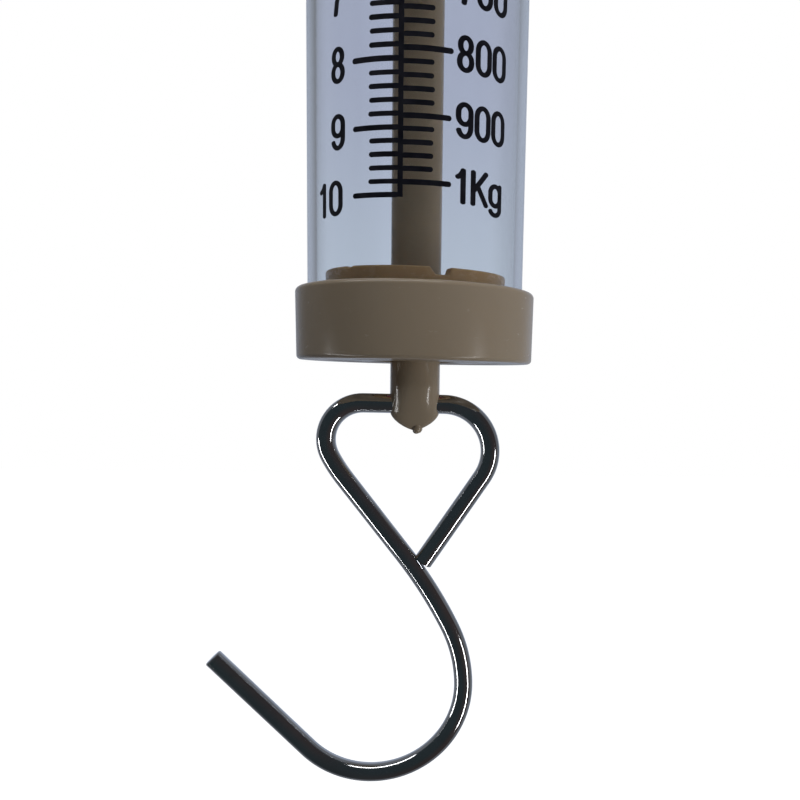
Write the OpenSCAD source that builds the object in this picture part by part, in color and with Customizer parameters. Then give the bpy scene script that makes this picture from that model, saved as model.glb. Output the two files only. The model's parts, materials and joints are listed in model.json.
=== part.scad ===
// Tubular hanging spring scale, 10 N / 1 kg.
// A clear tube with two moulded caps hangs by a ring from a threaded stem.
// A coil spring inside carries a reading disc, a plunger rod and a wire load hook.
// Millimetres, +Z up. The origin is the point inside the top of the suspension ring
// that rests on whatever the scale hangs from, so everything else is below it.
// The scale faces -Y; the suspension ring and the load hook lie in the XZ plane.

/* [Node] */
// Piece to build, or "all" for the whole scale

/* [Tube and caps] */
// Outside diameter of the clear tube
tube_d = 27; // [26.6:0.1:30]
// Wall of the clear tube
tube_wall = 1.1; // [0.9:0.1:1.2]
// Wall of the caps outside the tube
cap_wall = 1.45; // [1.3:0.05:2.5]
// Height of the bottom cap
bottom_cap_h = 8.8; // [7:0.1:9.6]
// Height of the top cap
top_cap_h = 14; // [12:0.5:18]
// Rounding of the caps' outer edges
cap_round = 0.9; // [0.4:0.1:1.2]

/* [Scale] */
// Travel of the reading disc for one newton
newton_pitch = 7.12; // [6.5:0.01:7.5]
// Newtons at the end of the printed scale
newton_span = 10; // [8:1:10]
// Height of the last graduation above the bottom cap's underside
last_mark_h = 17.9; // [17:0.1:20]

// Turn of the printed scale from the front towards the viewer's left, in degrees
print_turn = 7.9; // [0:0.1:15]
// Length of a short graduation round the tube
short_mark = 3.6; // [3:0.1:4]
// Length of a long graduation round the tube
long_mark = 5.65; // [5:0.05:6]

/* [Plunger] */
// Diameter of the plunger rod
rod_d = 6.35; // [6:0.05:6.6]
// Play of the rod in its guide, per side
rod_play = 0.85; // [0.4:0.05:0.9]
// Depth of the load hook's bore below the bottom cap
bore_drop = 5.35; // [5:0.05:7]
// Thickness of the reading disc
disc_t = 2.6; // [2:0.1:3]

/* [Wire] */
// Diameter of the plated wire of the ring and the hook
wire_d = 2.5; // [2.3:0.1:2.6]
// Inside diameter of the suspension ring
ring_id = 21; // [19:0.5:24]
// Running clearance of the hook's wire in the rod, per side
hook_fit = 0.08; // [0.04:0.01:0.1]

/* [Zero adjuster] */
// Outside diameter of the knurled nut
nut_d = 20; // [18:0.5:23]
// Grooves round the knurled nut
knurl_count = 30; // [20:1:34]
// Nominal diameter of the threaded stem
stem_d = 6; // [5.6:0.1:6.2]
// Pitch of the stem's thread
stem_pitch = 1; // [0.8:0.1:1.2]

/* [Spring] */
// Wire diameter of the spring
spring_wire = 0.9; // [0.8:0.05:1]
// Mean coil diameter of the spring
spring_mean_d = 11.6; // [11.4:0.1:12]
// Number of coils, wound closed at rest
spring_coils = 35; // [30:1:38]

/* [Hidden] */
$fn = 96;
air = 0.05; // room between pieces that are glued, screwed or pinned together
free = 0.3; // room between pieces that move past each other
tube_r = tube_d / 2;
bore_r = tube_r - tube_wall;
cap_r = tube_r + air + cap_wall;
wire_r = wire_d / 2;
rod_r = rod_d / 2;
stem_r = stem_d / 2;

// Heights from the top down.
ring_r = ring_id / 2 + wire_r;
ring_z = -ring_id / 2;
ring_low_z = ring_z - ring_r;
eye_play = 0.2;
eye_z = ring_low_z - eye_play;
eye_hole_r = wire_r + 0.6;
eye_r = 4.5;
eye_t = 4;
shoulder_z = eye_z - 7.5;
nut_top_z = shoulder_z - 5;
nut_head_h = 7;
nut_low_z = nut_top_z - nut_head_h;
washer_t = 0.5;
cap_top_z = nut_low_z - washer_t - 2 * air;
roof_t = 3.5;
roof_z = cap_top_z - roof_t;
top_cap_z = cap_top_z - top_cap_h;
hub_r = 6.5;
hub_low_z = roof_z - 2.5;
clip_t = 0.8;
clip_z = roof_z - 0.5 - clip_t;
thread_low_z = hub_low_z - 3;
neck_r = stem_r - 0.45;
pin_z = thread_low_z - 2.5;
sleeve_r = 10.6;
sleeve_bore_r = 8.8;
sleeve_low_z = pin_z - 6;
zero_travel = 2.5;
plug_top_z = sleeve_low_z - 2;
flange_t = 2;
flange_r = 7;
spring_top_z = plug_top_z - flange_t;
spring_len = spring_coils * spring_wire;
spring_low_z = spring_top_z - spring_len;
core_r = spring_mean_d / 2 - spring_wire / 2 - free;
core_h = 8;
plug_pin_z = spring_top_z - 5.5;
disc_top_z = spring_low_z - flange_t;
disc_low_z = disc_top_z - disc_t;
cap_low_z = disc_low_z - newton_span * newton_pitch - last_mark_h;
floor_t = 2.5;
bore_z = cap_low_z - bore_drop;
tube_top_z = roof_z - air;
tube_low_z = cap_low_z + floor_t + air;

// Printed scale: a film of ink on the tube.
newtons_per_kg = 9.80665;
ink_in_r = tube_r + 0.02;
ink_t = 0.05;
mark_w = 0.5;
line_w = 0.65;

// Guide bush in the bottom cap.
bush_r = bore_r - 1.1;
bush_wall = 1.7;
bush_top_z = cap_low_z + 10.7;
bush_web_z = cap_low_z + floor_t + air;
bush_web_t = 2.6;
nose_r = 5.6;

// The load hook, in the XZ plane: a straight run through the rod's bore, and from its two
// ends the shank and the leg. A step [0, l] is straight and l long. A step [r, t] is a bend
// of radius r through t degrees, and t is positive to the left.
eye_left = 6.6;
eye_right = 3.8;
shank_steps = [[4.75, -118], [20, -9.7], [0, 12.6], [61, 10.9], [18.8, 25.1], [12.1, 137.5],
    [0, 17.6]];
leg_steps = [[6.12, -124.9], [0, 12.8]];
wire_lap = 0.05; // every other run is longer by this at each end, and thicker by wire_step
wire_step = 0.01;

steel = [0.75, 0.76, 0.78];
beige = [0.72, 0.66, 0.55];
white = [0.92, 0.92, 0.9];
brass = [0.75, 0.6, 0.3];
red = [0.75, 0.1, 0.08];
ink = [0.03, 0.03, 0.05];

// Draws runs of wire one after the other, starting at the origin along +X.
module wire_run(steps, i = 0) {
    if (i < len(steps)) {
        r = steps[i][0];
        t = steps[i][1];
        over = i % 2 == 1 ? wire_lap : 0;
        w = wire_r + (i % 2 == 1 ? wire_step : 0);
        if (r == 0) {
            rotate([0, 90, 0]) translate([0, 0, -over]) cylinder(r = w, h = t + 2 * over, $fn = 32);
            translate([t, 0, 0]) wire_run(steps, i + 1);
        } else {
            side = t > 0 ? 1 : -1;
            turn = abs(t);
            lap_t = over / r * 180 / PI;
            translate([0, 0, side * r]) {
                rotate([90, 0, 0])
                    rotate_extrude(angle = turn + 2 * lap_t, start = (side > 0 ? -90 : 90 - turn) - lap_t)
                        translate([r, 0]) circle(w, $fn = 32);
                rotate([0, -t, 0]) translate([0, 0, -side * r]) wire_run(steps, i + 1);
            }
        }
    }
}

// Cross-section of a ring wall with both outer edges rounded.
module wall_section(r_in, r_out, z_low, z_high, round_r) {
    difference() {
        translate([r_in, z_low]) square([r_out - r_in, z_high - z_low]);
        for (end = [[z_low, 1], [z_high, -1]])
            translate([r_out - round_r, end[0] + end[1] * round_r])
                difference() {
                    translate([0, end[1] > 0 ? -round_r - 1 : 0]) square([round_r + 1, round_r + 1]);
                    circle(round_r, $fn = 48);
                }
    }
}

// Ring of plated wire the scale hangs by, closed with a butt joint.
module suspension_ring() {
    butt_gap = 2;
    color(steel) translate([0, 0, ring_z]) rotate([90, 0, 0])
        rotate_extrude(angle = 360 - butt_gap, start = 120) translate([ring_r, 0])
            circle(wire_r, $fn = 40);
}

// Threaded stem with a flat eye at the top and a plain neck for the spring plug.
module zero_stem() {
    teeth = floor((shoulder_z - thread_low_z - 1) / stem_pitch);
    root_r = stem_r - 0.55 * stem_pitch;
    color(brass) difference() {
        union() {
            translate([0, 0, eye_z]) rotate([0, 90, 0]) cylinder(r = eye_r, h = eye_t, center = true);
            translate([-eye_t / 2, -eye_r, shoulder_z]) cube([eye_t, 2 * eye_r, eye_z - shoulder_z]);
            translate([0, 0, shoulder_z - 1.5]) cylinder(r = eye_r, h = 2);
            rotate_extrude() polygon([
                [0, thread_low_z],
                [root_r, thread_low_z],
                for (i = [0:teeth - 1], t = [0.5, 1])
                    [t == 0.5 ? stem_r : root_r, thread_low_z + (i + t) * stem_pitch],
                [root_r, shoulder_z - 1],
                [0, shoulder_z - 1]]);
            translate([0, 0, spring_top_z - core_h + 1])
                cylinder(r = neck_r, h = thread_low_z - spring_top_z + core_h - 0.9);
        }
        translate([0, 0, eye_z]) rotate([0, 90, 0]) cylinder(r = eye_hole_r, h = 2 * eye_t, center = true);
        translate([0, 0, pin_z]) rotate([0, 90, 0]) cylinder(r = 1 + air, h = 20, center = true);
        translate([0, 0, plug_pin_z]) rotate([90, 0, 0]) cylinder(r = 0.8 + air, h = 20, center = true);
    }
}

// Cross pin that runs in the top cap's slots, so that the stem can't turn.
module stem_guide_pin() {
    color(steel) translate([0, 0, pin_z]) rotate([0, 90, 0])
        cylinder(r = 1, h = 2 * sleeve_r - 0.6, center = true);
}

// Knurled nut held in the top cap: turning it lifts or lowers the tube on the stem.
module zero_nut() {
    nut_r = nut_d / 2;
    groove_r = 0.75;
    color(beige) difference() {
        rotate_extrude() polygon([
            [stem_r + air, nut_top_z - 0.6],
            [stem_r + air + 0.6, nut_top_z],
            [nut_r - 1, nut_top_z],
            [nut_r, nut_top_z - 1],
            [nut_r, nut_low_z + 0.6],
            [nut_r - 0.6, nut_low_z],
            [hub_r, nut_low_z],
            [hub_r, clip_z + clip_t + air],
            [hub_r - 0.9, clip_z + clip_t + air],
            [hub_r - 0.9, clip_z - air],
            [hub_r, clip_z - air],
            [hub_r, hub_low_z + 0.4],
            [hub_r - 0.4, hub_low_z],
            [stem_r + air, hub_low_z]]);
        for (i = [0:knurl_count - 1])
            rotate([0, 0, i * 360 / knurl_count])
                translate([nut_r + 0.3, 0, nut_low_z - 1])
                    cylinder(r = groove_r, h = nut_head_h + 2, $fn = 24);
    }
}

// Open retaining clip in the nut's groove, under the roof of the top cap.
module nut_clip() {
    color(steel) translate([0, 0, clip_z])
        rotate_extrude(angle = 300, start = 120) translate([hub_r - 0.9 + air, 0])
            square([2.2, clip_t]);
}

// Thin friction washer between the nut and the top cap.
module nut_washer() {
    color(white) translate([0, 0, cap_top_z + air]) difference() {
        cylinder(r = hub_r + 2.8, h = washer_t);
        translate([0, 0, -1]) cylinder(r = hub_r + 0.2, h = washer_t + 2);
    }
}

// Top cap: outer skirt over the tube, roof, and a slotted inner sleeve.
module top_cap() {
    slot_w = 2.4;
    slot_top_z = pin_z + zero_travel + 1.3;
    color(beige) {
        rotate_extrude() {
            wall_section(tube_r + air, cap_r, top_cap_z, cap_top_z, cap_round);
            translate([hub_r + 0.08, roof_z]) square([tube_r - hub_r + 0.2, roof_t]);
        }
        difference() {
            translate([0, 0, sleeve_low_z]) cylinder(r = sleeve_r, h = roof_z - sleeve_low_z + 0.5);
            translate([0, 0, sleeve_low_z - 1]) cylinder(r = sleeve_bore_r, h = roof_z - sleeve_low_z + 3);
            translate([-sleeve_r - 2, -slot_w / 2, sleeve_low_z - 1])
                cube([2 * sleeve_r + 4, slot_w, slot_top_z - sleeve_low_z + 1]);
        }
    }
}

// Clear tube that carries the printed scale.
module scale_tube() {
    color([0.75, 0.8, 0.88, 0.35]) rotate_extrude()
        translate([bore_r, tube_low_z]) square([tube_wall, tube_top_z - tube_low_z]);
}

// One printed mark, from one distance to another round the tube, right of the base line.
module mark(from, to, z_low, z_high) {
    per_mm = 180 / PI / tube_r;
    rotate_extrude(angle = (to - from) * per_mm, start = -90 - print_turn + from * per_mm)
        translate([ink_in_r, z_low]) square([ink_t, z_high - z_low]);
}

// Base line of the printed scale, from 0 N to the last newton.
module base_line() {
    color(ink) mark(-line_w / 2, line_w / 2, disc_low_z - newton_span * newton_pitch - mark_w / 2,
        disc_low_z + mark_w / 2);
}

// Graduations left of the base line, one for each 0.2 N and a long one for each newton.
module newton_marks() {
    color(ink) for (i = [0:5 * newton_span]) {
        z = disc_low_z - i * newton_pitch / 5;
        mark(i % 5 == 0 ? -long_mark : -short_mark, -line_w / 2 - 0.01, z - mark_w / 2, z + mark_w / 2);
    }
}

// Graduations right of the base line, one for each 20 g and a long one for each 100 g.
module gram_marks() {
    step = newtons_per_kg * newton_pitch / 50;
    color(ink) for (i = [0:floor(newton_span * newton_pitch / step)]) {
        z = disc_low_z - i * step;
        mark(line_w / 2 + 0.01, i % 5 == 0 ? long_mark : short_mark, z - mark_w / 2, z + mark_w / 2);
    }
}

// Bottom cap: outer skirt over the tube and a floor with a round opening.
module bottom_cap() {
    color(beige) rotate_extrude() {
        wall_section(tube_r + air, cap_r, cap_low_z, cap_low_z + bottom_cap_h, cap_round);
        translate([nose_r + air, cap_low_z]) square([tube_r - nose_r, floor_t]);
    }
}

// Castellated bush in the bottom cap that guides the plunger rod.
module guide_bush() {
    guide_r = rod_r + rod_play;
    // Each cut in the rim: angle from the front, width in degrees, depth.
    cuts = [[15, 10, 0.9], [135, 10, 0.9], [255, 10, 0.9], [-42, 4, 0.3]];
    color(beige) difference() {
        rotate_extrude() {
            translate([bush_r - bush_wall, bush_web_z]) square([bush_wall, bush_top_z - bush_web_z]);
            translate([guide_r, bush_web_z]) square([bush_r - guide_r - 0.5, bush_web_t]);
            translate([guide_r, cap_low_z + 0.4]) square([nose_r - guide_r, floor_t]);
        }
        for (cut = cuts)
            rotate([0, 0, cut[0] - 90])
                translate([bush_r - bush_wall - 1, -bush_r * sin(cut[1] / 2), bush_top_z - cut[2]])
                    cube([bush_wall + 3, 2 * bush_r * sin(cut[1] / 2), cut[2] + 1]);
    }
}

// Plunger rod with a rounded nose and the cross bore for the load hook.
module plunger_rod() {
    nose_h = 2.2;
    straight_z = cap_low_z - 6.6;
    color(beige) difference() {
        union() {
            translate([0, 0, straight_z]) cylinder(r = rod_r, h = disc_low_z - air - straight_z);
            translate([0, 0, straight_z]) intersection() {
                scale([1, 1, nose_h / rod_r]) sphere(rod_r);
                translate([0, 0, -rod_r]) cylinder(r = rod_r + 1, h = rod_r);
            }
            translate([0.3, 0, straight_z - nose_h - 0.5]) cylinder(r1 = 0.4, r2 = 0.55, h = 1);
        }
        translate([0, 0, bore_z]) rotate([0, 90, 0])
            cylinder(r = wire_r + hook_fit, h = 4 * rod_r, center = true);
        translate([0, 0, disc_low_z - 8]) cylinder(r = 1.25, h = 9);
    }
}

// Disc that slides inside the tube; its lower edge is read against the scale.
module reading_disc() {
    disc_r = bore_r - 0.5;
    color(red) rotate_extrude() {
        difference() {
            translate([1.4, disc_low_z]) square([disc_r - 1.4, disc_t - air]);
            translate([rod_r + 2, disc_low_z + 1.4]) square([disc_r - rod_r - 4.2, disc_t]);
        }
    }
}

// Plug screwed into the spring's lower end, on top of the reading disc.
module lower_spring_plug() {
    color(white) rotate_extrude() polygon([
        [1.4, disc_top_z],
        [flange_r, disc_top_z],
        [flange_r, spring_low_z - air],
        [core_r, spring_low_z - air],
        [core_r, spring_low_z + core_h - 0.5],
        [core_r - 0.5, spring_low_z + core_h],
        [3, spring_low_z + core_h],
        [3, spring_low_z + 2],
        [1.4, spring_low_z + 2]]);
}

// Screw that holds the plug and the disc on top of the rod.
module disc_screw() {
    seat_z = spring_low_z + 2 + air;
    color(steel) difference() {
        union() {
            translate([0, 0, seat_z]) cylinder(r = 2.5, h = 1.6);
            translate([0, 0, disc_low_z - 7]) cylinder(r = 1.2, h = seat_z - disc_low_z + 7.2);
        }
        for (a = [0, 90]) rotate([0, 0, a])
            translate([-1.5, -0.25, seat_z + 0.8]) cube([3, 0.5, 2]);
    }
}

// Close-wound extension spring: one ring of wire for each coil.
module extension_spring() {
    mean_r = spring_mean_d / 2;
    color(steel) rotate_extrude() {
        translate([mean_r - 0.2, spring_low_z + 0.3]) square([0.4, spring_len - 0.6]);
        for (i = [0:spring_coils - 1])
            translate([mean_r, spring_low_z + (i + 0.5) * spring_wire]) circle(spring_wire / 2, $fn = 16);
    }
}

// Plug screwed into the spring's upper end and pinned to the stem.
module upper_spring_plug() {
    color(white) difference() {
        rotate_extrude() polygon([
            [neck_r + air, plug_top_z],
            [flange_r, plug_top_z],
            [flange_r, spring_top_z + air],
            [core_r, spring_top_z + air],
            [core_r, spring_top_z - core_h + 0.5],
            [core_r - 0.5, spring_top_z - core_h],
            [neck_r + air, spring_top_z - core_h]]);
        translate([0, 0, plug_pin_z]) rotate([90, 0, 0]) cylinder(r = 0.8 + air, h = 20, center = true);
    }
}

// Pin through the upper plug and the stem.
module plug_pin() {
    color(steel) translate([0, 0, plug_pin_z]) rotate([90, 0, 0])
        cylinder(r = 0.8, h = 2 * core_r - 0.4, center = true, $fn = 32);
}

// Load hook: one length of plated wire through the rod's cross bore.
module load_hook() {
    color(steel) translate([0, 0, bore_z]) {
        translate([-eye_left - wire_lap, 0, 0]) rotate([0, 90, 0])
            cylinder(r = wire_r + wire_step, h = eye_left + eye_right + 2 * wire_lap, $fn = 32);
        translate([eye_right, 0, 0]) wire_run(leg_steps);
        mirror([1, 0, 0]) translate([eye_left, 0, 0]) wire_run(shank_steps);
    }
}

suspension_ring();
zero_stem();
stem_guide_pin();
zero_nut();
nut_clip();
nut_washer();
top_cap();
scale_tube();
base_line();
newton_marks();
gram_marks();
bottom_cap();
guide_bush();
plunger_rod();
reading_disc();
lower_spring_plug();
disc_screw();
extension_spring();
upper_spring_plug();
plug_pin();
load_hook();
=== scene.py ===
"""Looks for the tubular hanging spring scale: detailed pieces, materials, light and camera.

Metres throughout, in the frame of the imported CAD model. +Z is up and -Y faces the viewer.
"""

import json
import math
import random

import bmesh
import bpy
from mathutils import Matrix, Vector


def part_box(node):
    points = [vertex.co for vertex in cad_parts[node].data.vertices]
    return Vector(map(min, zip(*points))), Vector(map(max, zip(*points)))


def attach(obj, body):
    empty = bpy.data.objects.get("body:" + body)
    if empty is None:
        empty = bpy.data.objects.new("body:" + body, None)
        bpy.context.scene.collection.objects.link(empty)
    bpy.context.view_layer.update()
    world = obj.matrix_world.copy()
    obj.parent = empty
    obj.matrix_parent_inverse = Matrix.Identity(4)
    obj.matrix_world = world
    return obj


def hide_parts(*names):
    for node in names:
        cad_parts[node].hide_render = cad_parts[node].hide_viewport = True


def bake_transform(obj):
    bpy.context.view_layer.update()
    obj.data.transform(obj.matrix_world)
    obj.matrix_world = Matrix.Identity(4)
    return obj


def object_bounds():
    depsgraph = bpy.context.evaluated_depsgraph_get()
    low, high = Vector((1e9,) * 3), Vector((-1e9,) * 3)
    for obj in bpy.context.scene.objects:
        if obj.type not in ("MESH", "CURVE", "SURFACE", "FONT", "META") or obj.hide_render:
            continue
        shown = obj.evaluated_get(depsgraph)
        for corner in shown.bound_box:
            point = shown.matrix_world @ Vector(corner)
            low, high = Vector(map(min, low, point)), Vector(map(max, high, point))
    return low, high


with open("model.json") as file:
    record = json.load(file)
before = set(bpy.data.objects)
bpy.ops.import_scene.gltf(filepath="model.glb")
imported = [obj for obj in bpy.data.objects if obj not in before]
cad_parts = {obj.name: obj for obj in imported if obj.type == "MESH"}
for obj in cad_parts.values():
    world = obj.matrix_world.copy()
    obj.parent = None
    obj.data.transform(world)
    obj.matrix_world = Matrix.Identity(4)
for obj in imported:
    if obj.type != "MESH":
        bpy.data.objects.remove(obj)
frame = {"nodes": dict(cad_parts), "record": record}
cad_low, cad_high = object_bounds()

MM = 0.001
TAU = 2 * math.pi
TURNED_SEGMENTS = 256
UV_LENGTH = 50 * MM


def low(node):
    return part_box(node)[0]


def high(node):
    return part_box(node)[1]


# Sizes and heights taken from the CAD model.
TUBE_R = high("scale_tube").x
CAP_R = high("bottom_cap").x
CAP_LOW = low("bottom_cap").z
CAP_TOP = high("bottom_cap").z
ROD_R = high("plunger_rod").x
ROD_TOP = high("plunger_rod").z
BUSH_R = high("guide_bush").x
BUSH_LOW = low("guide_bush").z
BUSH_TOP = high("guide_bush").z
BEND_EXTRA = 0.01 * MM  # the CAD wire's bends are this much larger in radius
WIRE_R = high("load_hook").y - BEND_EXTRA
RING_Z = (low("suspension_ring").z + high("suspension_ring").z) / 2
RING_R = high("suspension_ring").x - WIRE_R
SPRING_TOP = high("extension_spring").z
SPRING_LOW = low("extension_spring").z
SPRING_OUT_R = high("extension_spring").x
LINE_REACH = 0.25 * MM  # the base line runs this far past its first and last marks
SCALE_ZERO = high("base_line").z - LINE_REACH
SCALE_END = low("base_line").z + LINE_REACH
JOINTS = {j["name"]: j for j in frame["record"]["behaviour"]["joints"]}
PIVOT_Z = JOINTS["hook_swing"]["pos_m"][2]

NEWTONS = 10
NEWTON_STEP = (SCALE_ZERO - SCALE_END) / NEWTONS
GRAM_STEP = NEWTON_STEP * 0.980665  # for 100 g
PRINT_AZIMUTH = math.radians(-7.9)


# ---------------------------------------------------------------- mesh helpers


def new_piece(name, verts, faces, material, body, replaces=(), sharp=40, uvs=None):
    """Makes a mesh object that rides on a body and stands for the CAD nodes it replaces."""
    mesh = bpy.data.meshes.new(name)
    mesh.from_pydata([tuple(v) for v in verts], [], faces)
    mesh.update()
    mesh.materials.append(material)
    if uvs is not None:
        layer = mesh.uv_layers.new(name="UVMap")
        for poly in mesh.polygons:
            for loop in poly.loop_indices:
                layer.data[loop].uv = uvs[mesh.loops[loop].vertex_index]
    finish_mesh(mesh, sharp)
    piece = bpy.data.objects.new(name, mesh)
    bpy.context.collection.objects.link(piece)
    place_piece(piece, body, replaces)
    return piece


def finish_mesh(mesh, sharp):
    """Outward normals, smooth shading, and hard edges above an angle."""
    work = bmesh.new()
    work.from_mesh(mesh)
    bmesh.ops.recalc_face_normals(work, faces=work.faces)
    work.to_mesh(mesh)
    work.free()
    mesh.polygons.foreach_set("use_smooth", [True] * len(mesh.polygons))
    mesh.set_sharp_from_angle(angle=math.radians(sharp))
    mesh.update()


def place_piece(piece, body, replaces):
    if body:
        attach(piece, body)
    if replaces:
        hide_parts(*replaces)


def arc_points(centre_r, centre_z, radius, start, end, count):
    """Points of an arc in the (r, z) half plane, angles in degrees."""
    out = []
    for i in range(count + 1):
        a = math.radians(start + (end - start) * i / count)
        out.append((centre_r + radius * math.cos(a), centre_z + radius * math.sin(a)))
    return out


def skin(rings, sides, first=0, loop=False):
    """Quads between successive rings of vertices, with a cap at each end of an open row."""
    faces = []
    for i in range(rings if loop else rings - 1):
        here, there = first + i * sides, first + (i + 1) % rings * sides
        for k in range(sides):
            m = (k + 1) % sides
            faces.append((here + k, here + m, there + m, there + k))
    if not loop:
        last = first + (rings - 1) * sides
        faces.append(tuple(reversed(range(first, first + sides))))
        faces.append(tuple(range(last, last + sides)))
    return faces


def revolve(profile_at, segments):
    """Vertices and faces of a turned shape. profile_at(angle) gives a closed loop of (r, z)
    points, as many at every angle."""
    verts = []
    for s in range(segments):
        a = TAU * s / segments
        profile = profile_at(a)
        verts += [(r * math.sin(a), -r * math.cos(a), z) for r, z in profile]
    return verts, skin(segments, len(profile), loop=True)


def sweep(path, side, radius_at, sides=40):
    """Round wire along a flat path; side is the unit vector across the path's plane."""
    verts, uvs = [], []
    travelled = 0.0
    for i, point in enumerate(path):
        before, after = path[max(i - 1, 0)], path[min(i + 1, len(path) - 1)]
        normal = side.cross((after - before).normalized())
        travelled += (point - before).length
        radius = radius_at(i, travelled)
        for k in range(sides):
            a = TAU * k / sides
            verts.append(point + radius * (math.cos(a) * normal + math.sin(a) * side))
            uvs.append((travelled / UV_LENGTH, k / sides))
    return verts, skin(len(path), sides), uvs


# ---------------------------------------------------------------- materials


class Graph:
    """Short helpers that build a node tree."""

    def __init__(self, tree):
        self.nodes = tree.nodes
        self.links = tree.links

    def node(self, kind, **values):
        made = self.nodes.new(kind)
        for key, value in values.items():
            setattr(made, key, value)
        return made

    def set(self, socket, value):
        """Sets a socket to a number or colour, or links another node's output to it."""
        if isinstance(value, (int, float)):
            socket.default_value = value
        elif isinstance(value, tuple):
            socket.default_value = (*value, 1.0)
        else:
            self.links.new(value, socket)

    def remap(self, value, from_low, from_high, to_low, to_high, **how):
        ranged = self.node("ShaderNodeMapRange", **how)
        ranged.inputs["From Min"].default_value = from_low
        ranged.inputs["From Max"].default_value = from_high
        ranged.inputs["To Min"].default_value = to_low
        ranged.inputs["To Max"].default_value = to_high
        self.links.new(value, ranged.inputs["Value"])
        return ranged.outputs["Result"]

    def math(self, operation, first, second):
        made = self.node("ShaderNodeMath", operation=operation)
        for socket, value in zip(made.inputs, (first, second)):
            self.set(socket, value)
        return made.outputs["Value"]

    def mix(self, factor, first, second):
        made = self.node("ShaderNodeMix", data_type="RGBA")
        self.links.new(factor, made.inputs["Factor"])
        for key, value in (("A", first), ("B", second)):
            self.set([s for s in made.inputs if s.name == key and s.type == "RGBA"][0], value)
        return [s for s in made.outputs if s.type == "RGBA"][0]


class Shader(Graph):
    """A node material with one Principled shader, and short helpers to feed it."""

    def __init__(self, name, **sockets):
        self.material = bpy.data.materials.new(name)
        self.material.use_nodes = True
        super().__init__(self.material.node_tree)
        self.shader = self.nodes["Principled BSDF"]
        for key, value in sockets.items():
            self.shader.inputs[key.replace("_", " ")].default_value = value
        self.coords = self.nodes.new("ShaderNodeTexCoord")
        self.last_bump = None

    def stretched(self, output="Object", scale=(1, 1, 1)):
        mapping = self.node("ShaderNodeMapping")
        mapping.inputs["Scale"].default_value = scale
        self.links.new(self.coords.outputs[output], mapping.inputs["Vector"])
        return mapping.outputs["Vector"]

    def noise(self, scale, detail=3.0, vector=None, rough=0.5):
        noise = self.node("ShaderNodeTexNoise")
        noise.inputs["Scale"].default_value = scale
        noise.inputs["Detail"].default_value = detail
        noise.inputs["Roughness"].default_value = rough
        self.links.new(vector or self.coords.outputs["Object"], noise.inputs["Vector"])
        return noise.outputs["Fac"]

    def spots(self, scale, size):
        """Small round spots: 1 inside a spot and 0 outside."""
        cells = self.node("ShaderNodeTexVoronoi")
        cells.inputs["Scale"].default_value = scale
        self.links.new(self.coords.outputs["Object"], cells.inputs["Vector"])
        return self.remap(cells.outputs["Distance"], size, size * 0.5, 0.0, 1.0)

    def feed(self, socket, value):
        self.links.new(value, self.shader.inputs[socket])

    def bump(self, height, strength, distance):
        made = self.node("ShaderNodeBump")
        made.inputs["Strength"].default_value = strength
        made.inputs["Distance"].default_value = distance
        self.links.new(height, made.inputs["Height"])
        if self.last_bump:
            self.links.new(self.last_bump, made.inputs["Normal"])
        self.last_bump = made.outputs["Normal"]
        self.links.new(self.last_bump, self.shader.inputs["Normal"])


def scaled(colour, factor):
    return tuple(c * factor for c in colour)


def moulded_plastic(name, colour, roughness, depth=0.0, speck=0.25):
    """Gloss moulded plastic: cloudy tone, faint flow marks, specks and handling scuffs."""
    s = Shader(name, Roughness=roughness, IOR=1.5)
    if depth:
        s.shader.inputs["Subsurface Weight"].default_value = depth
        s.shader.inputs["Subsurface Radius"].default_value = (1.0, 0.8, 0.55)
        s.shader.inputs["Subsurface Scale"].default_value = 1.6 * MM
    cloud = s.noise(90, 4, rough=0.6)
    flow = s.noise(140, 2, s.stretched(scale=(1.0, 1.0, 0.4)))
    tone = s.mix(s.remap(cloud, 0.3, 0.7, 0, 1), scaled(colour, 0.97), scaled(colour, 1.03))
    warm = (colour[0] * 1.04, colour[1] * 0.99, colour[2] * 0.93)
    tone = s.mix(s.remap(flow, 0.35, 0.75, 0, 0.5), tone, warm)
    dirt = s.spots(420, 0.035)
    tone = s.mix(s.math("MULTIPLY", dirt, speck), tone, scaled(colour, 0.5))
    s.feed("Base Color", tone)
    scuff = s.noise(500, 5, s.stretched(scale=(1, 1, 2.5)), rough=0.7)
    s.feed("Roughness", s.remap(scuff, 0.3, 0.75, roughness * 0.9, roughness * 1.2))
    s.bump(s.noise(110, 2), 0.06, 0.10 * MM)
    s.bump(s.noise(2200, 3), 0.03, 0.01 * MM)
    return s.material


def clear_plastic():
    """Clear extruded tube with a faint blue tint, long die lines, hazy patches and dust."""
    s = Shader("clear_tube_plastic", IOR=1.49, Roughness=0.02)
    s.shader.inputs["Transmission Weight"].default_value = 1.0
    tint = (0.962, 0.974, 0.986)
    lines = s.noise(420, 3, s.stretched(scale=(1, 1, 0.012)))
    tone = s.mix(s.remap(lines, 0.3, 0.7, 0, 1), scaled(tint, 0.985), scaled(tint, 1.01))
    bands = s.noise(150, 2, s.stretched(scale=(1, 1, 0.02)))
    tone = s.mix(s.remap(bands, 0.4, 0.6, 0, 1), tone, scaled(tint, 0.955))
    dust = s.spots(260, 0.055)
    s.feed("Base Color", s.mix(s.math("MULTIPLY", dust, 0.25), tone, scaled(tint, 0.7)))
    haze = s.noise(160, 4, s.stretched(scale=(1, 1, 0.35)), rough=0.65)
    s.feed("Roughness", s.remap(haze, 0.35, 0.8, 0.012, 0.07))
    s.bump(lines, 0.05, 0.08 * MM)
    return s.material


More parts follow.
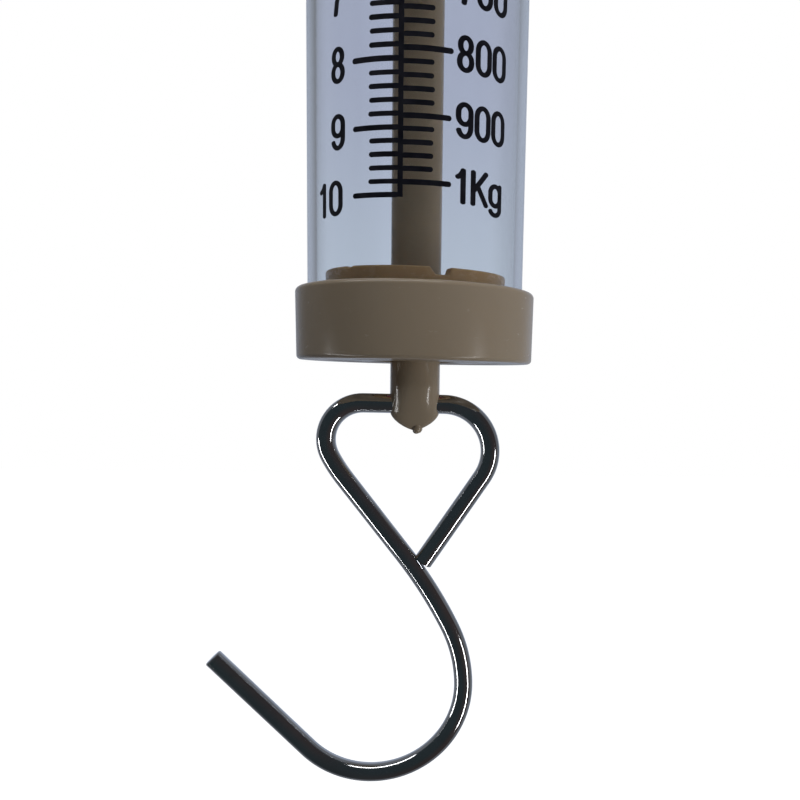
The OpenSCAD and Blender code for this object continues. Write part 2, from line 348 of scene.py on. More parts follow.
def plated_wire():
    """Bright nickel-plated wire with lengthwise draw marks, fine pits and dull patches."""
    s = Shader("plated_wire_metal", Metallic=1.0, Roughness=0.09)
    along = s.stretched("UV", (1.2, 7.0, 1.0))
    marks = s.noise(9, 4, along, rough=0.65)
    patch = s.noise(220, 4, rough=0.6)
    bright = (0.66, 0.67, 0.69)
    tone = s.mix(s.remap(patch, 0.35, 0.7, 0, 1), bright, scaled(bright, 0.82))
    pits = s.spots(1500, 0.045)
    s.feed("Base Color", s.mix(s.math("MULTIPLY", pits, 0.6), tone, (0.22, 0.21, 0.2)))
    s.feed("Roughness", s.remap(patch, 0.3, 0.75, 0.05, 0.14))
    s.bump(marks, 0.07, 0.03 * MM)
    s.bump(pits, -0.2, 0.03 * MM)
    return s.material


def bare_metal(name, colour, roughness, grain=(1, 1, 14)):
    """Turned or drawn metal: fine lines across one axis and dull tarnish."""
    s = Shader(name, Metallic=1.0, Roughness=roughness)
    lines = s.noise(900, 3, s.stretched(scale=grain), rough=0.6)
    tarnish = s.noise(260, 5, rough=0.65)
    tone = s.mix(s.remap(tarnish, 0.35, 0.75, 0, 1), colour, scaled(colour, 0.68))
    s.feed("Base Color", tone)
    s.feed("Roughness", s.remap(tarnish, 0.3, 0.75, roughness * 0.75, roughness * 1.5))
    s.bump(lines, 0.15, 0.02 * MM)
    return s.material


def printed_ink():
    """Screen-printed ink: blue-black, a little uneven, with a soft gloss."""
    s = Shader("printed_ink", Roughness=0.42, Specular_IOR_Level=0.3)
    patch = s.noise(900, 4, rough=0.6)
    dense, thin = (0.003, 0.003, 0.008), (0.010, 0.010, 0.02)
    s.feed("Base Color", s.mix(s.remap(patch, 0.3, 0.75, 0, 1), dense, thin))
    s.feed("Roughness", s.remap(patch, 0.3, 0.7, 0.34, 0.55))
    s.bump(patch, 0.2, 0.01 * MM)
    return s.material


def pale_floor():
    """Pale floor that glows enough to look as light as the background."""
    s = Shader("pale_floor", Roughness=0.7)
    grain = s.noise(40, 4)
    light, dull = (0.93, 0.93, 0.925), (0.9, 0.9, 0.9)
    s.feed("Base Color", s.mix(s.remap(grain, 0.3, 0.7, 0, 1), light, dull))
    s.shader.inputs["Emission Color"].default_value = (1.0, 1.0, 1.0, 1.0)
    s.shader.inputs["Emission Strength"].default_value = 0.78
    return s.material


BEIGE = (0.35, 0.282, 0.202)
beige = moulded_plastic("beige_plastic_moulded", BEIGE, 0.24, depth=0.2)
beige_rod = moulded_plastic("beige_plastic_rod", BEIGE, 0.15, depth=0.15)
# The bush's beige is brighter and more saturated than BEIGE. This is a painted glow that stands in
# for light shining through the plastic, which the bush shows from inside the tube.
beige_painted_glow = moulded_plastic("beige_plastic_bush_painted_glow", (0.62, 0.415, 0.225), 0.26, depth=0.3)
white_plastic = moulded_plastic("white_plastic_moulded", (0.78, 0.77, 0.72), 0.4, depth=0.15)
red_plastic = moulded_plastic("red_plastic_moulded", (0.55, 0.025, 0.02), 0.3)
tube_plastic = clear_plastic()
wire_metal = plated_wire()
steel = bare_metal("plain_steel_turned", (0.5, 0.5, 0.51), 0.3)
spring_metal = bare_metal("spring_steel_drawn", (0.46, 0.46, 0.48), 0.24, (6, 6, 6))
brass = bare_metal("stem_brass_turned", (0.62, 0.45, 0.2), 0.26)
ink = printed_ink()


CAD_SHARP = 32  # degrees


def dress(node, material):
    """Gives a carried-over CAD node its material."""
    target = frame["nodes"][node]
    target.data.materials.clear()
    target.data.materials.append(material)
    target.data.set_sharp_from_angle(angle=math.radians(CAD_SHARP))


for name, look in (
    ("zero_stem", brass),
    ("stem_guide_pin", steel),
    ("zero_nut", beige),
    ("nut_clip", steel),
    ("nut_washer", white_plastic),
    ("top_cap", beige),
    ("reading_disc", red_plastic),
    ("lower_spring_plug", white_plastic),
    ("disc_screw", steel),
    ("upper_spring_plug", white_plastic),
    ("plug_pin", steel),
):
    dress(name, look)


# ---------------------------------------------------------------- barrel


def make_tube():
    """Clear tube with slightly rounded cut ends."""
    z0, z1 = low("scale_tube").z, high("scale_tube").z
    wall = 1.1 * MM
    edge = 0.12 * MM
    inner = TUBE_R - wall
    levels = 40
    outside = [(TUBE_R, z0 + edge + (z1 - z0 - 2 * edge) * i / levels) for i in range(levels + 1)]
    inside = [(inner, z) for _, z in reversed(outside)]
    profile = outside + [(TUBE_R - edge, z1), (inner + edge, z1)]
    profile += inside + [(inner + edge, z0), (TUBE_R - edge, z0)]
    verts, faces = revolve(lambda a: profile, TURNED_SEGMENTS)
    return new_piece("scale_tube_clear", verts, faces, tube_plastic, "barrel",
                     ["scale_tube"], sharp=50)


def make_bottom_cap():
    """Bottom cap with a slight draft, rounded edges and a shallow groove under its floor."""
    draft, room, floor_t = 0.1 * MM, 0.06 * MM, 2.5 * MM
    top_soft, low_soft = 0.6 * MM, 0.5 * MM
    lip, edge, hole_edge = 0.3 * MM, 0.2 * MM, 0.25 * MM
    hole = 5.65 * MM
    groove, groove_in, groove_out = 0.12 * MM, 8.0 * MM, 11.0 * MM
    inner, floor_top = TUBE_R + room, CAP_LOW + floor_t
    profile = arc_points(CAP_R - draft - low_soft, CAP_LOW + low_soft, low_soft, -90, 0, 8)
    profile += arc_points(CAP_R - top_soft, CAP_TOP - top_soft, top_soft, 0, 90, 10)
    profile += arc_points(inner + lip, CAP_TOP - lip, lip, 90, 180, 4)
    profile += [(inner, floor_top + lip), (inner - lip, floor_top), (hole + edge, floor_top)]
    profile += [(hole, floor_top - edge), (hole, CAP_LOW + hole_edge), (hole + hole_edge, CAP_LOW)]
    profile += [(groove_in, CAP_LOW), (groove_in + lip, CAP_LOW + groove)]
    profile += [(groove_out, CAP_LOW + groove), (groove_out + lip, CAP_LOW)]
    verts, faces = revolve(lambda a: profile, TURNED_SEGMENTS)
    return new_piece("bottom_cap_moulding", verts, faces, beige, "barrel",
                     ["bottom_cap"], sharp=50)


# Notches in the bush's rim: places in degrees from the viewer's side, depths in mm. Each notch
# slopes down over IN_RUN and up again over OUT_RUN degrees, at these distances from its centre.
NOTCHES, NOTCH_DEPTH = (15.2, 135.0, -105.0), 0.85
IN_FROM, IN_RUN = -7.5, 3.5
OUT_TO, OUT_RUN = 5.6, 1.6
NICK, NICK_HALF, NICK_DEPTH = -42.0, 3.0, 0.22
RIM_WAVE = 0.06


def held(value):
    """A value held between 0 and 1."""
    return min(max(value, 0), 1)


def rim_height(angle):
    """Height of the bush's castellated rim: notches with one sloping side, and a small nick."""
    a = (math.degrees(angle) + 180) % 360 - 180
    drop = 0.0
    for centre in NOTCHES:
        off = a - centre
        slope_in = held((off - IN_FROM) / IN_RUN)
        slope_out = held((OUT_TO - off) / OUT_RUN)
        drop = max(drop, NOTCH_DEPTH * min(slope_in, slope_out))
    nick = held(1 - abs(a - NICK) / NICK_HALF)
    drop = max(drop, NICK_DEPTH * nick)
    wave = RIM_WAVE * math.sin(math.radians(a) * 2 + 0.6)
    return BUSH_TOP - (drop + RIM_WAVE + wave) * MM


def make_bush():
    """Castellated guide bush: rim, web and the nose that guides the rod."""
    wall, web_t = 1.7 * MM, 2.6 * MM
    web_low = CAP_LOW + 2.55 * MM
    web_top = web_low + web_t
    guide, nose = 4.05 * MM, 5.6 * MM
    soft = 0.22 * MM

    def profile(angle):
        top = rim_height(angle)
        points = [(nose - soft, BUSH_LOW), (nose, BUSH_LOW + soft), (nose, web_low)]
        points += [(BUSH_R, web_low), (BUSH_R, top - soft)]
        points += arc_points(BUSH_R - soft, top - soft, soft, 15, 90, 4)
        points += arc_points(BUSH_R - wall + soft, top - soft, soft, 90, 180, 4)
        points += [(BUSH_R - wall, web_top + soft), (BUSH_R - wall - soft, web_top)]
        points += [(guide + soft, web_top), (guide, web_top - soft)]
        points += [(guide, BUSH_LOW + soft), (guide + soft, BUSH_LOW)]
        return points

    verts, faces = revolve(profile, 720)
    return new_piece("guide_bush_moulding", verts, faces, beige_painted_glow, "barrel",
                     ["guide_bush"], sharp=50)


# ---------------------------------------------------------------- printed scale

INK_IN = TUBE_R + 0.004 * MM
INK_OUT = TUBE_R + 0.03 * MM


def on_tube(x, z, radius):
    """Point on the tube for a print position x mm right of the base line."""
    a = PRINT_AZIMUTH + x * MM / TUBE_R
    return (radius * math.sin(a), -radius * math.cos(a), z)


def ink_row(x, z_high, z_low):
    """Four corners of the ink's section at a print position, with its outer side first."""
    return [on_tube(x, z_high, INK_OUT), on_tube(x, z_low, INK_OUT),
            on_tube(x, z_low, INK_IN), on_tube(x, z_high, INK_IN)]


def add_stroke(verts, faces, x0, x1, z, width, steps_end=5, step=0.35):
    """A print bar with rounded ends, from x0 to x1 mm round the tube and width mm high."""
    half = width / 2
    least = half * 0.12
    turns = [math.pi / 2 * i / steps_end for i in range(steps_end + 1)]
    end = [(half * (1 - math.cos(a)), max(half * math.sin(a), least)) for a in turns]
    span = x1 - x0 - 2 * half
    middle = max(1, int(span / step))
    columns = [(x0 + inset, h) for inset, h in end]
    columns += [(x0 + half + span * i / middle, half) for i in range(1, middle)]
    columns += [(x1 - inset, h) for inset, h in reversed(end)]
    first = len(verts)
    for x, h in columns:
        verts += ink_row(x, z + h * MM, z - h * MM)
    faces += skin(len(columns), 4, first)


# Reach and height of the graduations in mm: every fifth one is long.
LONG_REACH, SHORT_REACH = 5.67, 3.62
LONG_WIDTH, SHORT_WIDTH = 0.60, 0.55
LINE_HALF = 0.28
MARK_START = 0.12


def make_marks(name, node, side, step, count=51):
    """Graduations on one side of the base line; every fifth is long."""
    draw = random.Random(name)
    verts, faces = [], []
    for i in range(count):
        is_long = i % 5 == 0
        z = SCALE_ZERO - i * step + draw.uniform(-0.02, 0.02) * MM
        reach = (LONG_REACH if is_long else SHORT_REACH) + draw.uniform(-0.08, 0.08)
        width = (LONG_WIDTH if is_long else SHORT_WIDTH) + draw.uniform(-0.03, 0.03)
        start, end = sorted((side * MARK_START, side * reach))
        add_stroke(verts, faces, start, end, z, width)
    return new_piece(name, verts, faces, ink, "barrel", [node], sharp=50)


def make_base_line():
    """Vertical base line, from the zero mark down to the last newton."""
    verts = []
    rows = 120
    z_top, z_low = SCALE_ZERO + LINE_REACH, SCALE_END - LINE_REACH
    draw = random.Random(5)
    for i in range(rows + 1):
        z = z_top + (z_low - z_top) * i / rows
        left, right = -LINE_HALF - draw.uniform(0, 0.02), LINE_HALF + draw.uniform(0, 0.02)
        corners = ((left, INK_OUT), (right, INK_OUT), (right, INK_IN), (left, INK_IN))
        verts += [on_tube(x, z, radius) for x, radius in corners]
    faces = skin(rows + 1, 4)
    return new_piece("base_line_print", verts, faces, ink, "barrel", ["base_line"], sharp=50)


def ellipse(cx, cy, rx, ry, start, end, count=22):
    """Points of an ellipse's arc, angles in degrees."""
    turns = [math.radians(start + (end - start) * i / count) for i in range(count + 1)]
    return [(cx + rx * math.cos(a), cy + ry * math.sin(a)) for a in turns]


def oval(cx, low_y, high_y, rx, bow=0.26):
    """Upright oval with straight sides, as a closed stroke."""
    ry = min(bow, (high_y - low_y) / 2)
    top = ellipse(cx, high_y - ry, rx, ry, 0, 180)
    bottom = ellipse(cx, low_y + ry, rx, ry, 180, 360)
    return top + bottom + top[:1]


def glyph_strokes(char):
    """Centre lines of a character's strokes, in a box 1 high."""
    h = 0.155  # half of a round digit's width
    if char == "0":
        return [oval(h, 0.06, 0.94, h * 1.04)]
    if char == "1":
        return [[(0.0, 0.74), (0.07, 0.80), (0.12, 0.88), (0.14, 0.94)],
                [(0.14, 0.94), (0.14, 0.04)]]
    if char == "2":
        return [ellipse(h, 0.72, h, 0.22, 170, -20) + [(h + 0.09, 0.52), (0.03, 0.18), (0.0, 0.06)],
                [(0.0, 0.06), (2 * h, 0.06)]]
    if char == "3":
        return [ellipse(h, 0.74, h * 0.95, 0.20, 165, -75), ellipse(h, 0.29, h, 0.23, 75, -165)]
    if char == "4":
        return [[(0.24, 0.04), (0.24, 0.94), (0.0, 0.30), (0.0, 0.27), (0.34, 0.27)]]
    if char == "5":
        return [[(0.29, 0.94), (0.04, 0.94), (0.01, 0.54)] + ellipse(h, 0.34, h, 0.28, 130, -160)]
    if char == "6":
        return [ellipse(h, 0.68, h, 0.26, 20, 180) + [(0.0, 0.32)], oval(h, 0.06, 0.60, h, 0.22)]
    if char == "7":
        return [[(0.0, 0.94), (2 * h, 0.94), (0.22, 0.66), (0.13, 0.38), (0.09, 0.04)]]
    if char == "8":
        return [oval(h, 0.52, 0.94, h * 0.84, 0.2), oval(h, 0.06, 0.52, h * 0.95, 0.22)]
    if char == "9":
        return [oval(h, 0.40, 0.94, h, 0.22), [(2 * h, 0.68)] + ellipse(h, 0.32, h, 0.26, 0, -160)]
    if char == "K":
        return [[(0.0, 0.94), (0.0, 0.04)], [(0.36, 0.94), (0.02, 0.42)],
                [(0.12, 0.56), (0.37, 0.04)]]
    if char == "g":
        return [oval(h, 0.10, 0.66, h, 0.2),
                [(2 * h, 0.68), (2 * h, 0.02)] + ellipse(h, 0.0, h, 0.17, 0, -160)]
    return []


# Figures: height in mm, and widths as parts of the height.
DIGIT_H = 3.85
STROKE_HALF = 0.068
DIGIT_ADVANCE = 0.477
GLYPH_ADVANCE = {"1": 0.40, "K": 0.50, "g": 0.5}
SPREAD = 1.28
SAME_POINT = 1e-6

# Left ends of the figures, in mm right of the base line.
NEWTON_X, TEN_X, GRAM_X = -8.6, -10.95, 6.4


def add_ribbon(verts, faces, points, place):
    """Adds a solid ink ribbon along a stroke, lifted off the tube by place(x, y, radius)."""
    closed = (Vector(points[0]) - Vector(points[-1])).length <= SAME_POINT
    if closed:
        outline = [(Vector(p), STROKE_HALF) for p in points[:-1]]
    else:
        outline = extend_round(points, STROKE_HALF)
    line = [p for p, _ in outline]
    count = len(line)
    first = len(verts)
    for i, (point, half) in enumerate(outline):
        before = line[i - 1] if i or closed else line[0]
        after = line[(i + 1) % count] if i < count - 1 or closed else line[-1]
        along = (after - before).normalized()
        normal = Vector((-along.y, along.x))
        a, b = point + half * normal, point - half * normal
        for q, radius in ((a, INK_OUT), (b, INK_OUT), (b, INK_IN), (a, INK_IN)):
            verts.append(place(q.x, q.y, radius))
    faces += skin(count, 4, first, loop=closed)


def extend_round(points, half, steps=4, spacing=0.07):
    """Refines a stroke and rounds its ends: returns (point, half width) pairs."""
    dense = []
    for a, b in zip(points, points[1:]):
        a, b = Vector(a), Vector(b)
        parts = max(1, int((b - a).length / spacing))
        dense += [a.lerp(b, i / parts) for i in range(parts)]
    dense.append(Vector(points[-1]))

    def rounded(tip, inward):
        """Points from beyond the tip back to it, with their half widths."""
        outward = (tip - inward).normalized()
        turns = [math.pi / 2 * i / steps for i in range(steps)]
        return [(tip + outward * half * math.cos(a) * 0.8, max(half * math.sin(a), half * 0.15))
                for a in turns]

    start, end = rounded(dense[0], dense[1]), rounded(dense[-1], dense[-2])
    return start + [(p, half) for p in dense] + end[::-1]


def add_text(verts, faces, text, x_left, z_middle):
    """Adds a number to the print; x_left is in mm right of the base line."""
    x = x_left
    for char in text:
        def place(gx, gy, radius, x=x):
            z = z_middle + (gy - 0.5) * DIGIT_H * MM
            return on_tube(x + gx * DIGIT_H * SPREAD, z, radius)
        for stroke in glyph_strokes(char):
            add_ribbon(verts, faces, stroke, place)
        x += GLYPH_ADVANCE.get(char, DIGIT_ADVANCE) * DIGIT_H * SPREAD


def make_figures(name, step, label, left):
    """A column of figures; label(n) is the nth one's text and left(n) its left end."""
    verts, faces = [], []
    for n in range(1, NEWTONS + 1):
        add_text(verts, faces, label(n), left(n), SCALE_ZERO - n * step)
    new_piece(name, verts, faces, ink, "barrel", sharp=50)


def make_numerals():
    """Newton figures left of the base line and gram figures right of it."""
    make_figures("newton_figures", NEWTON_STEP, str, lambda n: NEWTON_X if n < NEWTONS else TEN_X)
    make_figures("gram_figures", GRAM_STEP, lambda n: f"{n}00" if n < NEWTONS else "1Kg",
                 lambda n: GRAM_X)


# ---------------------------------------------------------------- plunger and hook


# Heights of the rod's shaping in mm from the bottom cap's underside, each with its length.
SQUARE_FROM, SQUARE_RUN, SQUARENESS = -0.5, 2.5, 0.35
THIN_FROM, THIN_RUN = -3.0, 5.8
DOME_FROM, DOME_RUN = -6.3, 2.5
ROD_EDGE = 0.25 * MM
SCREW_HOLE_R, SCREW_HOLE_L = 1.25 * MM, 16 * MM
CROSS_BORE_ROOM, CROSS_BORE_L = 0.03 * MM, 10 * MM


def rod_section(z):
    """Half widths across X and Y and the section's squareness at a height. The rod is round up
    in the tube. Its moulded end is a little square, thins from front to back round the wire,
    and closes in a dome."""
    rel = (z - CAP_LOW) / MM
    square = 2 + SQUARENESS * held((SQUARE_FROM - rel) / SQUARE_RUN)
    thin = held((THIN_FROM - rel) / THIN_RUN)
    dome = held((DOME_FROM - rel) / DOME_RUN)
    return ROD_R * (1 - dome ** 1.8) ** 0.75, ROD_R * (1 - thin ** 1.5), square


def rod_levels():
    """Heights of the rod's rings, coarse in the tube and fine at its moulded end."""
    coarse, medium = 4 * MM, 1 * MM
    medium_top, fine_top = CAP_LOW + 12 * MM, CAP_LOW - 2 * MM
    levels = [ROD_TOP, ROD_TOP - ROD_EDGE]
    z = ROD_TOP - medium
    while z > medium_top:
        levels.append(z)
        z -= coarse
    z = medium_top
    while z > fine_top:
        levels.append(z)
        z -= medium
    fine = [-2 - 0.2 * i for i in range(22)] + [-6.4 - 0.1 * i for i in range(23)]
    nose = [-8.68, -8.73, -8.765, -8.785]
    return levels + [CAP_LOW + rel * MM for rel in fine + nose]


def make_rod():
    """Plunger rod with a rounded nose, the cross bore for the hook and the screw's hole."""
    segments = 128
    levels = rod_levels()
    verts = []
    for i, z in enumerate(levels):
        rx, ry, square = rod_section(z)
        if i == 0:
            rx, ry = rx - ROD_EDGE, ry - ROD_EDGE
        for k in range(segments):
            a = TAU * k / segments
            sx, sy = math.sin(a), -math.cos(a)
            x = rx * math.copysign(abs(sx) ** (2 / square), sx)
            verts.append((x, ry * math.copysign(abs(sy) ** (2 / square), sy), z))
    faces = skin(len(levels), segments)
    rod = new_piece("plunger_rod_moulding", verts, faces, beige_rod, "plunger",
                    ["plunger_rod"], sharp=50)
    across = Matrix.Rotation(math.pi / 2, 4, "Y")
    cut_bore(rod, Vector((0, 0, PIVOT_Z)), across, WIRE_R + CROSS_BORE_ROOM, CROSS_BORE_L)
    cut_bore(rod, Vector((0, 0, ROD_TOP)), Matrix.Identity(4), SCREW_HOLE_R, SCREW_HOLE_L)
    return rod


def cut_bore(piece, centre, turn, radius, length):
    """Cuts a round bore through a piece and keeps the result as its mesh. The bore lies along
    Z before the turn."""
    work = bmesh.new()
    bmesh.ops.create_cone(work, cap_ends=True, segments=48, radius1=radius, radius2=radius,
                          depth=length, matrix=Matrix.Translation(centre) @ turn)
    mesh = bpy.data.meshes.new("cutter")
    work.to_mesh(mesh)
    work.free()
    cutter = bpy.data.objects.new("cutter", mesh)
    bpy.context.collection.objects.link(cutter)
    tool = piece.modifiers.new("bore", "BOOLEAN")
    tool.operation = "DIFFERENCE"
    tool.solver = "EXACT"
    tool.object = cutter
    bpy.context.view_layer.update()
    done = bpy.data.meshes.new_from_object(piece.evaluated_get(bpy.context.evaluated_depsgraph_get()))
    piece.modifiers.clear()
    old = piece.data
    piece.data = done
    bpy.data.meshes.remove(old)
    bpy.data.objects.remove(cutter)
    bpy.data.meshes.remove(mesh)


# The broken-off moulding gate: (radius, height from the bottom cap's underside) in mm.
NUB_RINGS = ((0.6, -8.0), (0.66, -8.5), (0.63, -8.75), (0.56, -8.95), (0.42, -9.1), (0.2, -9.2))
NUB_X, NUB_TILT = 0.35, 0.05


def make_nub():
    """Broken-off moulding gate under the rod's nose."""
    draw = random.Random(11)
    verts = []
    sides = 24
    for radius, rel in NUB_RINGS:
        for k in range(sides):
            a = TAU * k / sides
            r = radius * (1 + draw.uniform(-0.06, 0.06)) * MM
            z = CAP_LOW + (rel + NUB_TILT * math.sin(a)) * MM
            verts.append((NUB_X * MM + r * math.sin(a), -r * math.cos(a), z))
    faces = skin(len(NUB_RINGS), sides)
    return new_piece("plunger_gate_nub", verts, faces, beige_rod, "plunger", sharp=60)


# Runs of the load hook in mm and degrees: (0, length) is straight, (radius, turn) is a bend.
HOOK_SHANK = ((0, 6.6), (4.75, 118), (20, 9.7), (0, 12.6), (61, -10.9), (18.8, -25.1),
              (12.1, -137.5), (0, 17.6))
HOOK_LEG = ((0, 3.8), (6.12, -123.9), (0, 13.75))


def trace(runs, heading, step=0.45):
    """Points in the XZ plane along runs of wire that start at the pivot, heading in degrees."""
    x = z = 0.0
    h = math.radians(heading)
    points = [(x, z)]
    for radius, amount in runs:
        length = amount if radius == 0 else radius * math.radians(abs(amount))
        count = max(2, int(length / step))
        for i in range(count):
            if radius:
                turn = math.radians(amount) / count
                x += length / count * math.cos(h + turn / 2)
                z += length / count * math.sin(h + turn / 2)
                h += turn
            else:
                x += length / count * math.cos(h)
                z += length / count * math.sin(h)
            points.append((x, z))
    return points


def wire_radius(count, seed, end_mm=0.16):
    """Radius along a cut wire: a small chamfer at both ends and a little unevenness."""
    draw = random.Random(seed)
    phase = draw.uniform(0, 6)

    def radius(i, travelled):
        r = WIRE_R * (1 + 0.006 * math.sin(travelled / (7 * MM) + phase))
        if i in (0, count - 1):
            r -= end_mm * MM
        return r

    return radius


def chamfer_ends(path, share):
    """Adds a point next to each end of a path, where the wire's end chamfer starts."""
    path.insert(1, path[0].lerp(path[1], share))
    path.insert(len(path) - 1, path[-1].lerp(path[-2], share))


def make_hook():
    """Load hook: one length of plated wire through the rod's bore."""
    leg = trace(HOOK_LEG, 0)
    shank = trace(HOOK_SHANK, 180)
    flat = list(reversed(leg)) + shank[1:]
    path = [Vector((x * MM, 0, PIVOT_Z + z * MM)) for x, z in flat]
    chamfer_ends(path, 0.3)
    verts, faces, uvs = sweep(path, Vector((0, 1, 0)), wire_radius(len(path), 3))
    return new_piece("load_hook_wire", verts, faces, wire_metal, "hook",
                     ["load_hook"], sharp=35, uvs=uvs)


def make_ring():
    """Suspension ring of plated wire with a butt joint at its upper left."""
    gap = math.radians(1.6)
    joint = math.radians(119)
    count = 220
    turns = [joint + gap / 2 + (TAU - gap) * i / count for i in range(count + 1)]
    path = [Vector((RING_R * math.cos(a), 0, RING_Z + RING_R * math.sin(a))) for a in turns]
    chamfer_ends(path, 0.4)
    verts, faces, uvs = sweep(path, Vector((0, -1, 0)), wire_radius(len(path), 8, end_mm=0.1))
    return new_piece("suspension_ring_wire", verts, faces, wire_metal, "ring",
                     ["suspension_ring"], sharp=35, uvs=uvs)


def make_spring():
    """Close-wound spring as one true helix, fixed in place between the stem and the plunger."""
    wire = 0.44 * MM
    mean = SPRING_OUT_R - 0.45 * MM
    length = SPRING_TOP - SPRING_LOW - 2 * wire
    turns, per_turn, sides = 34, 44, 14
    up = Vector((0, 0, 1))
    verts = []
    count = turns * per_turn + 1
    for i in range(count):
        a = TAU * i / per_turn
        z = SPRING_TOP - wire - length * i / (count - 1)
        out = Vector((math.sin(a), -math.cos(a), 0))
        centre = out * mean + Vector((0, 0, z))
        r = wire * (0.8 if i in (0, count - 1) else 1)
        for k in range(sides):
            b = TAU * k / sides
            verts.append(centre + r * (math.cos(b) * out + math.sin(b) * up))
    faces = skin(count, sides)
    spring = new_piece("extension_spring_coil", verts, faces, spring_metal, None,
                       ["extension_spring"], sharp=50)
    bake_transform(spring)
    return spring


make_tube()
make_bottom_cap()
make_bush()
make_base_line()
make_marks("newton_graduations", "newton_marks", -1, NEWTON_STEP / 5)
make_marks("gram_graduations", "gram_marks", 1, GRAM_STEP / 5)
make_numerals()
make_rod()
make_nub()
make_hook()
make_ring()
make_spring()


# ---------------------------------------------------------------- stage, light and camera

# Directions: straight behind the object, its warmer front side, and where soft light comes from.
BEHIND = (0.093, 0.996, 0.0)
WARM_SIDE = (1, 0, -0.4)
SOFT_SIDE = (1, 0.0, 0.15)
UP, DOWN = (0, 0, 1), (0, 0, -1)

# What glossy surfaces mirror, what the clear tube shows behind it, and the soft light.
FRONT_COOL, FRONT_WARM = (0.024, 0.033, 0.037), (0.044, 0.033, 0.032)
SIDE_GREY, BEHIND_GREY = (0.165, 0.175, 0.19), (0.40, 0.45, 0.55)
THROUGH_LOW, THROUGH_HIGH = (0.55, 0.625, 0.735), (0.455, 0.495, 0.635)
SOFT_ALL, SOFT_RIGHT, SOFT_ABOVE, SOFT_BELOW = 0.02, 0.53, 0.18, 0.13
SOFT_IN_TUBE = 1.5
SOFT_COLOUR = (0.98, 1.0, 1.05)
BLACK, WHITE = (0.0, 0.0, 0.0), (1.0, 1.0, 1.0)

FLOOR_HALF, FLOOR_DROP = 3.0, 0.30


def make_floor():
    """Plain pale floor below the hanging scale."""
    z = cad_low.z - FLOOR_DROP
    corners = [(x * FLOOR_HALF, y * FLOOR_HALF, z) for x, y in ((-1, -1), (1, -1), (1, 1), (-1, 1))]
    mesh = bpy.data.meshes.new("floor")
    mesh.from_pydata(corners, [], [(0, 1, 2, 3)])
    mesh.materials.append(pale_floor())
    floor = bpy.data.objects.new("floor", mesh)
    bpy.context.collection.objects.link(floor)
    floor.visible_glossy = floor.visible_diffuse = floor.visible_transmission = False


def make_world():
    """Plain studio: white for the eye and pale blue-grey through the clear tube. What glossy
    surfaces mirror is dark on the viewer's side and grey behind, and soft light comes mostly
    from the right and above, stronger inside the tube."""
    world = bpy.data.worlds.new("studio")
    bpy.context.scene.world = world
    world.use_nodes = True
    g = Graph(world.node_tree)
    coords = g.node("ShaderNodeTexCoord").outputs["Generated"]
    path = g.node("ShaderNodeLightPath").outputs

    def ramp(direction, start, end, high_value=1.0):
        """0 facing away from a direction, rising to high_value facing it."""
        facing = g.node("ShaderNodeVectorMath", operation="DOT_PRODUCT")
        facing.inputs[1].default_value = Vector(direction).normalized()
        g.links.new(coords, facing.inputs[0])
        return g.remap(facing.outputs["Value"], start, end, 0.0, high_value,
                       interpolation_type="SMOOTHSTEP")

    front = g.mix(ramp(WARM_SIDE, -0.2, 0.9), FRONT_COOL, FRONT_WARM)
    mirrored = g.mix(ramp(BEHIND, -0.12, 0.12), front, SIDE_GREY)
    mirrored = g.mix(ramp(BEHIND, 0.5, 0.94), mirrored, BEHIND_GREY)
    soft = g.math("ADD", ramp(SOFT_SIDE, -0.18, 1.0, SOFT_RIGHT), SOFT_ALL)
    soft = g.math("ADD", soft, ramp(UP, 0.0, 1.0, SOFT_ABOVE))
    soft = g.math("ADD", soft, ramp(DOWN, 0.0, 1.0, SOFT_BELOW))
    in_tube = g.math("GREATER_THAN", path["Transmission Depth"], 0.5)
    gain = g.math("ADD", g.math("MULTIPLY", in_tube, SOFT_IN_TUBE - 1.0), 1.0)
    soft = g.mix(g.math("MULTIPLY", soft, gain), BLACK, SOFT_COLOUR)
    bounced = g.mix(g.math("GREATER_THAN", path["Diffuse Depth"], 0.5), mirrored, soft)
    depth = g.math("ADD", path["Diffuse Depth"], path["Glossy Depth"])
    through = g.mix(ramp(UP, 0.08, 0.36), THROUGH_LOW, THROUGH_HIGH)
    seen = g.mix(g.math("LESS_THAN", depth, 0.5), bounced, through)
    seen = g.mix(path["Is Camera Ray"], seen, WHITE)
    g.links.new(seen, g.nodes["Background"].inputs["Color"])


def toward(azimuth, elevation):
    """Unit vector; azimuth 0 is the viewer's side, positive to the viewer's right."""
    a, e = math.radians(azimuth), math.radians(elevation)
    return Vector((math.sin(a) * math.cos(e), -math.cos(a) * math.cos(e), math.sin(e)))


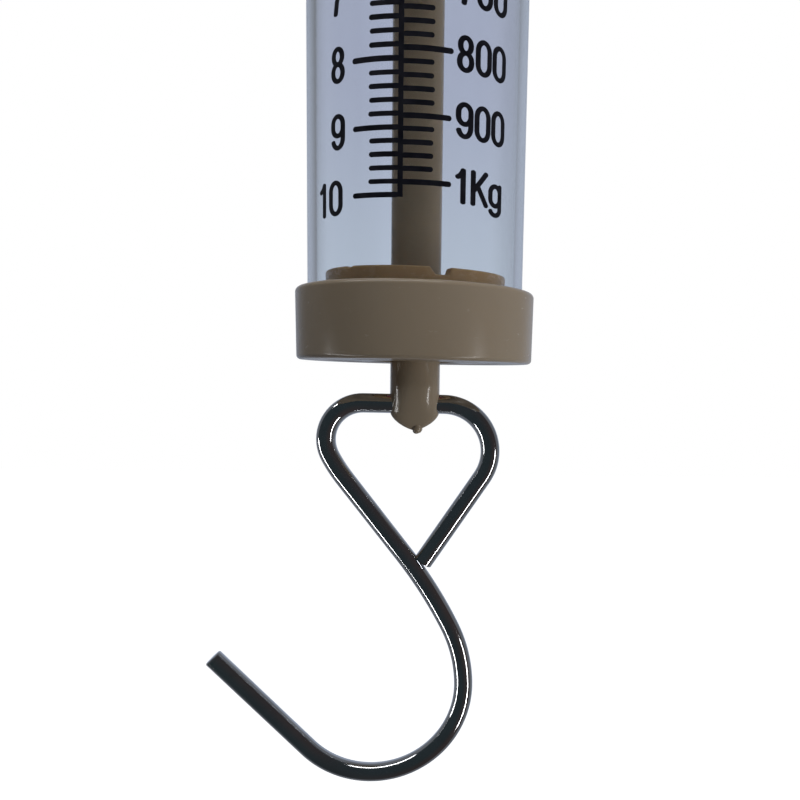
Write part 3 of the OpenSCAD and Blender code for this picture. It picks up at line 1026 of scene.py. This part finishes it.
def add_strip(name, start, end, width, energy, diffuse=True, distance=0.5):
    """Strip light between two directions, each (azimuth, elevation), seen from the bottom cap."""
    target = Vector((0, 0, CAP_LOW))
    first, last = toward(*start) * distance, toward(*end) * distance
    middle, along = (first + last) / 2, (last - first)
    data = bpy.data.lights.new(name, "AREA")
    data.shape = "RECTANGLE"
    data.size, data.size_y = width, along.length
    data.energy = energy
    light = bpy.data.objects.new(name, data)
    away = middle.normalized()
    up = (along - along.dot(away) * away).normalized()
    turn = Matrix((up.cross(away), up, away)).transposed().to_4x4()
    light.matrix_world = Matrix.Translation(target + middle) @ turn
    light.visible_transmission = False  # else the strip shows through the clear tube
    light.visible_diffuse = diffuse
    bpy.context.collection.objects.link(light)


# The camera, from the photograph's perspective. Angles are in radians, turned right, up and over.
LENS_MM, SENSOR_MM = 36.98, 36.0
SHIFT_X, SHIFT_Y = -0.1127, 0.1
CAMERA_YAW, CAMERA_PITCH, CAMERA_ROLL = 0.0931, -0.1188, 0.0217
CAMERA_Y, CAMERA_BELOW_CAP = -107.27 * MM, 2.32 * MM


def make_camera():
    """Close camera at the photograph's viewing angle, just below the bottom cap, looking down."""
    data = bpy.data.cameras.new("camera")
    camera = bpy.data.objects.new("camera", data)
    bpy.context.collection.objects.link(camera)
    data.sensor_width = SENSOR_MM
    data.lens = LENS_MM
    data.shift_x = SHIFT_X
    data.shift_y = SHIFT_Y
    data.clip_start = 0.005
    level = Vector((math.sin(CAMERA_YAW), math.cos(CAMERA_YAW), 0)) * math.cos(CAMERA_PITCH)
    forward = level + Vector((0, 0, math.sin(CAMERA_PITCH)))
    right = Vector((math.cos(CAMERA_YAW), -math.sin(CAMERA_YAW), 0))
    up = right.cross(forward)
    rolled_right = math.cos(CAMERA_ROLL) * right + math.sin(CAMERA_ROLL) * up
    rolled_up = -math.sin(CAMERA_ROLL) * right + math.cos(CAMERA_ROLL) * up
    turn = Matrix((rolled_right, rolled_up, -forward)).transposed().to_4x4()
    camera.matrix_world = Matrix.Translation((0, CAMERA_Y, CAP_LOW - CAMERA_BELOW_CAP)) @ turn
    bpy.context.scene.camera = camera


make_floor()
make_world()
add_strip("left_strip", (-88, -4), (-66, -46), width=0.034, energy=0.42, diffuse=False)
add_strip("right_strip", (62, -4), (47, -44), width=0.034, energy=0.42)
add_strip("front_strip", (-82, 42), (40, 60), width=0.05, energy=0.68)
make_camera()
bpy.context.scene.view_settings.view_transform = "Standard"
